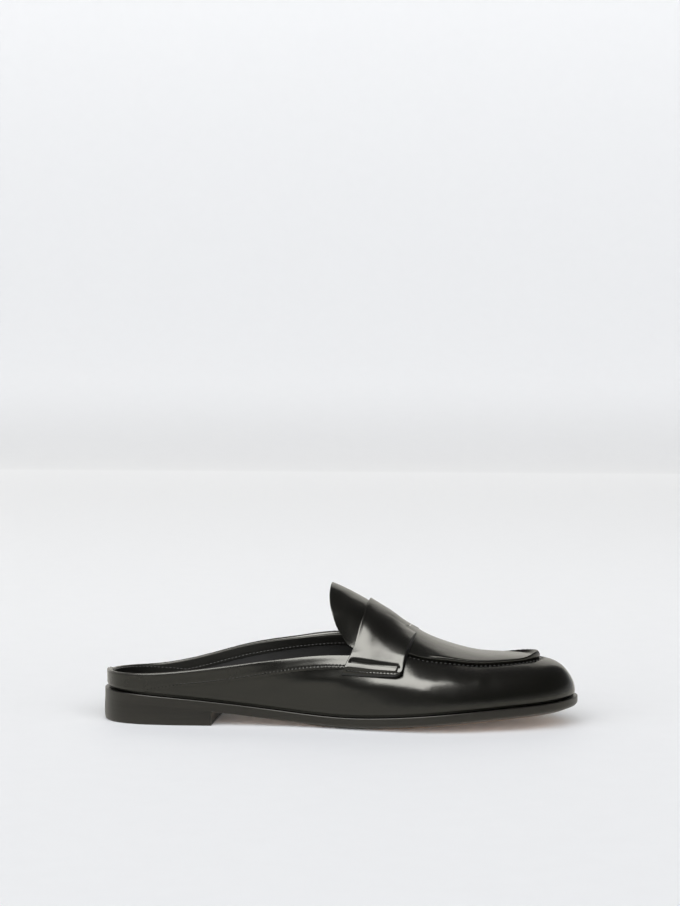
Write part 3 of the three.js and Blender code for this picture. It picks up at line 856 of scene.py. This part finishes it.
def make_facing():
    def place(u, v, grow):
        angle, side = collar_ring(u)
        rim = rim_wall(angle, side)
        low = wall_at(angle, side, lambda x, hand: rim_height(x, hand) - 7.0)
        return skin(angle, side, lerp(np.maximum(low, 0.2 * rim), rim, v), grow)

    def swell(start, end, low, high):
        return 0.12 * hill(low, 1.7, 0.4)

    rolls = ((0.3, 0.3), (0.3, 0.3))
    made = sheet(place, (240, 12), -UPPER_WALL + 0.1, -UPPER_WALL - 0.5, rolls, rise=swell)[:2]
    return add_mesh("collar_facing", *made, [facing_leather])


def make_lining():
    def place(u, v, grow):
        angle, side = collar_ring(u)
        low = wall_at(angle, side, lambda x, hand: rim_height(x, hand) - 6.4)
        low = np.maximum(low, 0.25 * rim_wall(angle, side))
        return skin(angle, side, low * (0.15 + 0.85 * v), grow)

    rolls = ((0.1, 0.1), (0.1, 0.1))
    made = sheet(place, (200, 14), -UPPER_WALL + 0.1, -UPPER_WALL - 0.15, rolls)[:2]
    return add_mesh("quarter_lining", *made, [lining_leather])


collar_band = make_band()
facing = make_facing()
lining = make_lining()

# The apron with its raised seam. It ends this far under the strap.

UNDER_STRAP = 9.0


def apron_place():
    """Shares run from the lateral strap round the toe to the medial strap, and from the seam to the crest."""
    shares = np.linspace(0, 1, 90)
    starts = {}
    for hand in SIDES:

        def past(angle):
            point = form(angle, hand, lerp(apron_wall(angle, hand), 1.0, shares))
            return point[..., 0] - strap_front(strap_up(point[..., 2])) * SOLE_LENGTH + UNDER_STRAP

        starts[hand] = solve(past, angle_at(150), angle_at(200), shares.shape)
    angles = np.linspace(angle_at(150), math.pi, 600)
    edges = {hand: apron_wall(angles, hand) for hand in SIDES}

    def place(u, v, grow):
        far = 1 - np.abs(2 * u - 1)
        side = np.where(u <= 0.5, LATERAL, MEDIAL)
        angle = lerp(by_side(side, v, shares, starts), math.pi, far)
        return skin(angle, side, lerp(by_side(side, angle, angles, edges), 1.0, v), grow)

    return place


def make_apron():
    def swell(start, end, low, high):
        pleat = 0.07 * np.cos(2 * math.pi * (start + 0.4) / PLEAT) * hill(low, 0.9, 0.9)
        clear = smooth(np.minimum(start, end), 8, 14)
        run = 2 * np.minimum(start, end) / (start + end)
        front = smooth(run, 0.42, 0.66)
        lateral = 0.8 + 2.1 * smooth(run, 0.46, 0.66) - 1.6 * smooth(run, 0.72, 1)
        medial = 0.85 + 1.45 * smooth(run, 0.32, 0.52) - smooth(run, 0.58, 0.95)
        lip = np.where(start < end, lateral, medial)
        lip = lip * hill(low, 1.05 + 0.5 * front, 0.85 + 0.4 * front)
        return clear * (lip - 0.16 * (1 - front) * hill(low, 3.1, 0.8) + pleat)

    rolls = ((0.75, 0.75), (0.75, 0))
    made = sheet(apron_place(), (440, 48), -0.9, 1.05, rolls, rise=swell, ease=1.7)[:2]
    return add_mesh("apron_skin", *made, [upper_leather], weld=True, sharp=60)


apron = make_apron()

# The saddle strap with its folded, stitched ends and the cut-out in its front edge.

# The cut-out is a little larger here than in the solid.
CUTOUT_HALF_WIDTH, CUTOUT_DEPTH = 13.2, 6.6
# The two rows of stitches, from the strap's foot.
ROW_LOW, ROW_HIGH = 2.2, 5.65
# From foot to crest, and the width at each end of that.
STRAP_HALF, STRAP_FOOT_WIDTH, STRAP_CREST_WIDTH = 62.0, 33.0, 26.0


def strap_angle(side, wall, share):
    return lerp(rear_angle(side, wall), front_angle(side, wall), share)


def strap_foot(hand, share):
    """The wall share of the strap's foot, at shares of its width. The foot rises a little to the rear."""

    def past(wall):
        point = form(strap_angle(hand, wall, share), hand, wall)
        return point[..., 2] - STRAP_FOOT_HEIGHT - 0.9 * (1 - share)

    return solve(past, 0.1, 0.9, share.shape)


def strap_place():
    """Shares run from the lateral foot over the crest to the medial foot, and from rear to front."""
    shares = np.linspace(0, 1, 40)
    feet = {hand: strap_foot(hand, shares) for hand in SIDES}
    radius = STRAP_CORNER - 1.5

    def place(u, v, grow):
        far = np.abs(2 * u - 1)
        side = np.where(u < 0.5, LATERAL, MEDIAL)
        from_crest = far * STRAP_HALF
        width = lerp(STRAP_CREST_WIDTH, STRAP_FOOT_WIDTH, far)
        corner = np.clip(radius - (STRAP_HALF - from_crest), 0, None)
        drawn = radius - np.sqrt(np.maximum(radius**2 - corner**2, 0))
        middle = from_crest / CUTOUT_HALF_WIDTH
        cut = CUTOUT_DEPTH * (0.6 + 0.4 * np.minimum(middle, 1) ** 2) * (1 - smooth(middle, 1.0, 1.05))
        v = v * (1 - (drawn + cut) / width)
        wall = 1 - (1 - by_side(side, v, shares, feet)) * far
        return skin(strap_angle(side, wall, v), side, wall, grow)

    return place


def make_strap():
    def swell(start, end, low, high):
        foot = np.minimum(start, end)
        inside = smooth(low, 1.0, 2.0) * smooth(high, 2.0, 3.0)
        pillow = 0.26 * np.clip(1 - ((foot - 3.95) / 1.6) ** 4, 0, 1) * inside
        trough = smooth(foot, ROW_HIGH - 0.5, ROW_HIGH) * (1 - smooth(foot, ROW_HIGH, 8.6))
        grooves = -inside * (0.5 * hill(foot, ROW_LOW, 0.5) + 0.8 * trough)
        upright = hill(high, 2.7, 0.55) * smooth(foot, 1.6, 2.4) * (1 - smooth(foot, 5.6, 6.6))
        grooves = grooves - 0.42 * upright
        share = low / (low + high)
        bow = 2.2 * share**1.3 * (0.55 + 0.45 * smooth(foot, 6, 14)) * (1 - smooth(foot, 18, 46))
        thin = -1.0 * smooth(foot, 36, 46) * smooth(share, 0.45, 0.95)
        pressed = -1.4 * (1 - smooth(foot, 0.0, 3.0))
        return pillow + grooves + bow + thin + pressed

    rolls = ((0.6, 0.6), (0.6, 0.3))
    points, faces, run = sheet(strap_place(), (360, 48), -0.1, 2.2, rolls, rise=swell)
    # The raw wall of the cut-out, whose near-white colour is a painted glint, and the painted edges at the
    # ends and along the front.
    strips = points.shape[1] - 1
    rows = np.arange(len(faces)) // strips
    cut = np.minimum(run[rows, 0], run[-1, 0] - run[rows, 0]) > STRAP_HALF - CUTOUT_HALF_WIDTH - 0.4
    front = np.arange(len(faces)) % strips >= strips - 5
    tones = np.where(front & cut, 1, np.where(front | (rows < 6) | (rows >= rows[-1] - 5), 2, 0))
    finishes = [strap_leather, raw_edge_painted_glint, painted_edge]
    return add_mesh("strap_skin", points, faces, finishes, tones, flip=True)


strap = make_strap()

# Insole, outsole and heel.


def sole_ring(count):
    angle, side = there_and_back(np.linspace(0, math.pi, count))
    return angle[:-1], side[:-1]


def ledge(angle, side, inset):
    """The outline of sole and heel, which stand out a little behind the heel."""
    x, y = outline(angle, side, inset)
    return x - 0.7 * (1 - smooth(x, 0, 24)), y


def towards_crest(angle, side, inset, share):
    """Plan points between a drawn-in outline, at share 0, and the middle of the sole, at share 1."""
    x, y = outline(angle, side, inset)
    crest_x, crest_y = crest_point(length_at(angle))
    return lerp(x, crest_x, share), lerp(y, crest_y, share)


def make_insole():
    angle, side = sole_ring(120)
    tuck, roll = 1.7, 0.9
    # The edge is tucked under the lining.
    inset = SOLE_LEDGE + UPPER_WALL + GAP - tuck
    columns = []
    for turn in np.linspace(0, math.pi / 2, 5):
        x, y = towards_crest(angle, side, inset + roll * (1 - math.cos(turn)), 0)
        top = sole_top(x) + GAP + INSOLE_THICKNESS
        columns.append(np.stack([x, y, top - roll * (1 - math.sin(turn))], axis=-1))
    for share in np.linspace(0, 1, 22)[1:]:
        x, y = towards_crest(angle, side, inset + roll, share)
        dish = 0.5 * smooth(share, 0, 0.7) * (hill(x, 34, 26) + 0.8 * hill(x, 190, 26))
        columns.append(np.stack([x, y, sole_top(x) + GAP + INSOLE_THICKNESS - dish], axis=-1))
    return add_mesh("sock", *gridded(np.stack(columns, axis=1), wrap=True), [sock_leather], weld=True)


def tread_share(x):
    """Where the tread is shaped: 0 over the heel, 1 from the arch on."""
    return smooth(x, HEEL_LENGTH + 28, HEEL_LENGTH + 60)


# The sole's side from the top down: share of the bevel, share of the thickness.
SOLE_SIDE = [
    (3.2, 1.0), (1.2, 1.0), (0.14, 1.0), (0.08, 0.99), (0.035, 0.97), (0.01, 0.945), (0.0, 0.91),
    (0.0, 0.75), (0.0, 0.6), (0.0, 0.45), (0.03, 0.34), (0.12, 0.24), (0.3, 0.14), (0.55, 0.06),
    (0.85, 0.012), (1.0, 0.0),
]


def make_outsole():
    angle, side = sole_ring(170)
    columns = []
    for inset, up in SOLE_SIDE:
        shaped = tread_share(length_at(angle))
        x, y = ledge(angle, side, SOLE_BEVEL * inset * (shaped if up < 0.5 else 1))
        low = sole_edge(x)
        columns.append(np.stack([x, y, low + (sole_top(x) - low) * up], axis=-1))
    side_rows = len(columns)
    for inset, crown in ((1.25, 0.1), (1.7, 0.25), (3.0, 0.7), (4.5, 1.0)):
        x, y = ledge(angle, side, SOLE_BEVEL * inset)
        low = np.maximum(0, sole_edge(x) - TREAD_CROWN * crown * tread_share(x))
        columns.append(np.stack([x, y, low], axis=-1))
    for share in np.linspace(0, 1, 10)[1:]:
        x, y = towards_crest(angle, side, SOLE_BEVEL * 4.5, share)
        low = np.maximum(0, sole_edge(x) - TREAD_CROWN * tread_share(x))
        columns.append(np.stack([x, y, low], axis=-1))
    points, faces = gridded(np.stack(columns, axis=1), wrap=True)
    strip = np.arange(len(faces)) % (points.shape[1] - 1)
    tones = (strip >= side_rows + 2).astype(int)
    return add_mesh("sole", points, faces, [edge_leather, tread_leather], tones, weld=True, flip=True)


# The heel's side from the floor up: how far it stands out, share of its height.
HEEL_SIDE = [
    (-2.2, 0.0), (-0.9, 0.0), (-0.45, 0.02), (-0.15, 0.05), (0.0, 0.09), (0.2, 0.2), (0.3, 0.33),
    (0.28, 0.55), (0.18, 0.75), (0.06, 0.92), (0.0, 1.0),
]


def make_heel():
    count = 90
    angle, side = there_and_back(np.linspace(0, angle_at(HEEL_LENGTH), count)[::-1])
    columns = []
    for out, up in HEEL_SIDE:
        x, y = ledge(angle, side, -out)
        x = np.minimum(x, HEEL_LENGTH)
        columns.append(np.stack([x, y, (sole_edge(x) + 0.05) * up], axis=-1))
    wall = np.stack(columns, axis=1)
    # The breast, slightly hollow, and the tread.
    across = np.linspace(0, 1, 25)[:, None, None]
    breast = lerp(wall[-1][None], wall[0][None], across)
    breast[..., 0] -= 1.1 * (1 - (2 * across[..., 0] - 1) ** 2)
    across = np.linspace(0, 1, 13)[:, None, None]
    tread = lerp(wall[:count, 0][None], wall[count - 1 :, 0][::-1][None], across)
    points, faces = joined([gridded(wall), gridded(breast), gridded(tread)])
    return add_mesh("heel_block", points, faces, [heel_leather], weld=True, flip=True, sharp=35)


sock = make_insole()
sole = make_outsole()
heel = make_heel()

# Stitches


def make_band_stitches():
    parts = []
    for hand in SIDES:
        runs = BAND_RUNS[hand]
        first = np.interp(22.5, form(BAND_ANGLES, hand, 0.1)[..., 0], runs) // BAND_PITCH + 0.5
        stops = np.arange(first, (runs[-1] - 5.0) / BAND_PITCH) * BAND_PITCH
        angle = np.interp(stops, runs, BAND_ANGLES)
        wall = np.maximum(wall_at(angle, hand, band_seam), 0.03)
        ahead = np.gradient(skin(angle, hand, wall, 0.4), axis=0)
        parts.append(beads((angle, hand, wall, 0.38), ahead, 1.5, 0.27))
    return joined(parts)


def make_facing_stitches():
    def line(x, side):
        return rim_height(x, side) - 5.5

    parts = []
    far = angle_at(THROAT_AT - 3)
    for hand, ends in ((LATERAL, (far, 0.0)), (MEDIAL, (0.0, far))):
        angle = np.linspace(*ends, 240)
        wall = np.maximum(wall_at(angle, hand, line), 0.03)
        parts.append(thread((angle, hand, wall, -UPPER_WALL - 0.55), 2.2, 1.5, 0.24))
    return joined(parts)


def strap_row(hand, foot, share):
    """A stitch line on the strap's end: its distance from the foot, and its share of the width."""
    foot, share = np.linspace(*foot, 60), np.linspace(*share, 60)
    low = strap_foot(hand, share)
    wall = low + (1 - low) * foot / STRAP_HALF
    return strap_angle(hand, wall, share), hand, wall, 1.42 + 1.21 * share**1.3


def make_strap_stitches():
    parts = []
    for hand in SIDES:
        for foot in (ROW_HIGH, ROW_LOW):
            parts.append(thread(strap_row(hand, (foot, foot), (0.06, 0.9)), 1.95, 1.45, 0.3))
        upright = strap_row(hand, (ROW_LOW + 0.5, ROW_HIGH), (0.915, 0.915))
        parts.append(thread(upright, 1.6, 1.3, 0.3))
    return joined(parts)


def make_seam_stitches():
    """Stitches under the apron's raised seam, one in each pleat."""
    parts = []
    for hand in SIDES:
        angle = np.linspace(angle_at(172), math.pi, 400)
        limit = apron_wall(angle, hand)
        wall = limit * (1 - 1.7 / wall_depth(angle, hand, limit))
        parts.append(thread((angle, hand, wall, -0.45), PLEAT, 1.7, 0.3, start=0.9))
    return joined(parts)


band_stitches = add_mesh("band_stitches", *make_band_stitches(), [band_thread], sharp=80)
facing_stitches = add_mesh("facing_stitches", *make_facing_stitches(), [inner_thread], sharp=80)
strap_stitches = add_mesh("strap_stitches", *make_strap_stitches(), [thread_finish], sharp=80)
seam_stitches = add_mesh("apron_seam_stitches", *make_seam_stitches(), [thread_finish], sharp=80)

# What each piece stands for.

SEATS = [
    (upper, "upper_leather", "upper"),
    (collar_band, "band_leather", "collar_band"),
    (apron, "apron_leather", "apron"),
    (strap, "strap_leather", "saddle_strap"),
    (sock, "sock", "insole"),
    (sole, "sole_edge", "outsole"),
    (heel, "heel_block", "heel"),
    (facing, "upper_leather", None),
    (lining, "sock", None),
    (band_stitches, "band_leather", None),
    (facing_stitches, "upper_leather", None),
    (strap_stitches, "strap_leather", None),
    (seam_stitches, "apron_leather", None),
]
for piece, slot_name, node_name in SEATS:
    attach(piece, "root")
    if node_name:
        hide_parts(node_name)

# Floor, light and camera, in metres.
# The sweep behind the shoe: where it starts to turn up, the radius of its turn, its height, its half
# width, the smaller one of its upright part to the right, and its front end.
SWEEP_REAR, SWEEP_RADIUS, SWEEP_HEIGHT, SWEEP_HALF, SWEEP_RIGHT = 2.2, 1.0, 3.5, 4.0, 1.35
SWEEP_FRONT = -2.6
# How much brighter its upright part would be, and how far the floor before it is toned down.
SWEEP_LIGHT, SWEEP_DIP = 1.52, 0.16


def floor_material():
    """Pale paper. Its colour in the shoe's gloss and in the light it throws back is painted a little warmer.
    """
    material, tree, shader = blank("pale studio floor")
    paper = use(tree, FIBRE, Depth=0.15, Scale=300.0)
    seen = two_tone(tree, paper["Shade"], (0.79, 0.80, 0.82), (0.81, 0.82, 0.84))
    # Only camera rays see the paper's own colour. All other rays get a painted warm tint, which warms the
    # reflections and bounced light on the shoe.
    direct = node(tree, "LightPath").outputs["Is Camera Ray"]
    paper_and_painted_warm_light = mixed(tree, direct, (0.84, 0.815, 0.75, 1), seen)
    # The sweep and the floor before it would grow brighter where it turns up, so both are toned down.
    place = node(tree, "SeparateXYZ", {0: coordinates(tree)}).outputs
    level = maths(tree, "SUBTRACT", 1.0, maths(tree, "MINIMUM", place[2], SWEEP_RADIUS))
    upright = maths(tree, "MULTIPLY_ADD", maths(tree, "MULTIPLY", level, level), -1.0, 1.0)
    upright = maths(tree, "SQRT", upright)
    shade = maths(tree, "DIVIDE", 1.0, maths(tree, "MULTIPLY_ADD", upright, SWEEP_LIGHT, level))
    near_wall = ramp(tree, place[1], 0.3, 2.0, 0.0, SWEEP_DIP)
    near_floor = ramp(tree, place[2], 0.0, 0.12, 1.0, 0.0)
    dip = maths(tree, "MULTIPLY_ADD", maths(tree, "MULTIPLY", near_wall, near_floor), -1.0, 1.0)
    shade = maths(tree, "MULTIPLY", shade, dip)
    paint = node(tree, "VectorMath", {0: paper_and_painted_warm_light, "Scale": shade}, operation="SCALE").outputs[0]
    sources = {
        "Base Color": paint,
        "Normal": paper["Normal"],
        "Roughness": 0.6,
        "Specular IOR Level": 0.1,
        "Emission Color": (0.98, 0.99, 1.0, 1),
        "Emission Strength": 0.045,
    }
    feed(tree, shader, sources)
    return material


def make_floor():
    profile = [(SWEEP_FRONT, 0.0), (SWEEP_REAR, 0.0)]
    for turn in np.linspace(0, math.pi / 2, 17)[1:]:
        y = SWEEP_REAR + SWEEP_RADIUS * math.sin(turn)
        profile.append((y, SWEEP_RADIUS * (1 - math.cos(turn))))
    profile.append((SWEEP_REAR + SWEEP_RADIUS, SWEEP_HEIGHT))
    vertices = [(x, y, z) for y, z in profile for x in (-SWEEP_HALF, SWEEP_RIGHT if z else SWEEP_HALF)]
    quads = [(2 * i, 2 * i + 1, 2 * i + 3, 2 * i + 2) for i in range(len(profile) - 1)]
    mesh = bpy.data.meshes.new("floor")
    mesh.from_pydata(vertices, [], quads)
    mesh.materials.append(floor_material())
    mesh.polygons.foreach_set("use_smooth", [True] * len(quads))
    return place_object("floor", mesh)


make_floor()


def towards(azimuth, elevation, distance):
    a, e = math.radians(azimuth), math.radians(elevation)
    flat = distance * math.cos(e)
    return Vector((flat * math.cos(a), flat * math.sin(a), distance * math.sin(e)))


# The softbox shows in the gloss alone.
lamp = bpy.data.lights.new("key softbox", "AREA")
lamp.shape = "RECTANGLE"
lamp.size, lamp.size_y = 0.95, 1.05
lamp.energy = 38.0
softbox = place_object("key softbox", lamp)
softbox.location = towards(-124, 58, 1.3)
softbox.rotation_euler = (Vector((0, 0, 0.03)) - softbox.location).to_track_quat("-Z", "Y").to_euler()
softbox.visible_diffuse = False

world = bpy.data.worlds.new("studio")
bpy.context.scene.world = world
world.use_nodes = True
world.cycles.sampling_method = "NONE"
sky = world.node_tree
way = node(sky, "SeparateXYZ", {0: coordinates(sky, "Generated")}).outputs
# Seen in the gloss: a bright horizon that fades upwards, sooner in front, and a dark side past the toe.
fade = maths(sky, "MULTIPLY_ADD", way[1], 0.07, 0.27)
glow = ramp(sky, way[2], 0.0, fade, 0.75, 0.09)
glow = maths(sky, "MULTIPLY", glow, ramp(sky, way[0], 0.25, 0.85, 1.0, 0.6))
glow = maths(sky, "MULTIPLY", glow, maths(sky, "MULTIPLY_ADD", way[1], 0.3, 1.0))
# The soft light on all surfaces: a dome in front of the shoe, brighter overhead.
front = maths(sky, "MAXIMUM", maths(sky, "MULTIPLY", way[1], -1.0), 0.0)
slant = maths(sky, "MULTIPLY_ADD", maths(sky, "MAXIMUM", way[2], 0.0), 1.26, 3.24)
dome = maths(sky, "MULTIPLY_ADD", front, slant, 0.072)
soft = node(sky, "LightPath").outputs["Is Diffuse Ray"]
strength = node(sky, "Mix", {0: soft, 2: glow, 3: dome}, data_type="FLOAT").outputs[0]
feed(sky, sky.nodes["Background"], {"Color": (0.985, 0.99, 1.0, 1), "Strength": strength})

# The camera looks at the lateral side, a little from the toe and from above, and aims over the shoe.
CAMERA_AZIMUTH, CAMERA_ELEVATION, CAMERA_DISTANCE, CAMERA_LENS = -84.0, 3.2, 1.5, 106.0
SHOE_MIDDLE, AIM_ABOVE = 0.0387, 0.1115
camera_data = bpy.data.cameras.new("camera")
camera_data.lens = CAMERA_LENS
camera = place_object("camera", camera_data)
backward = towards(CAMERA_AZIMUTH, CAMERA_ELEVATION, 1.0)
upward = backward.cross(Vector((0, 0, 1)).cross(backward).normalized())
camera.location = Vector((0, 0, SHOE_MIDDLE)) + upward * AIM_ABOVE + backward * CAMERA_DISTANCE
camera.rotation_euler = backward.to_track_quat("Z", "Y").to_euler()
bpy.context.scene.camera = camera
bpy.context.scene.view_settings.view_transform = "Standard"
